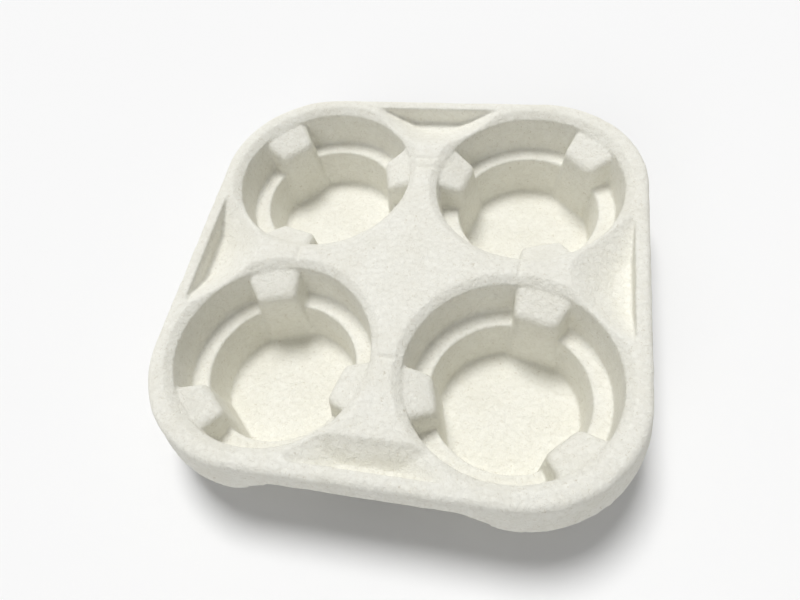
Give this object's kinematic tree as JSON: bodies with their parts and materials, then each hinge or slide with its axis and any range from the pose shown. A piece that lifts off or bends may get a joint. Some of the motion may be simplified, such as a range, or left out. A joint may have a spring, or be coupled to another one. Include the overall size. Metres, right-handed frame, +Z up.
{
  "type": "cup carrier",
  "caption": "Moulded pulp carrier tray with round wells, gripping fins and finger scoops, to carry and stand hot drinks in paper cups.",
  "frame": {"origin": "on the table, under the middle of the tray", "axes": "+Z up; -Y towards the side whose scoop has a straight edge; +X to the right"},
  "size_m": [0.2206, 0.2206, 0.046],
  "materials": {
    "pulp": "matt, fibrous"
  },
  "bodies": {
    "root": {"cup_carrier": "pulp"}
  },
  "joints": []
}
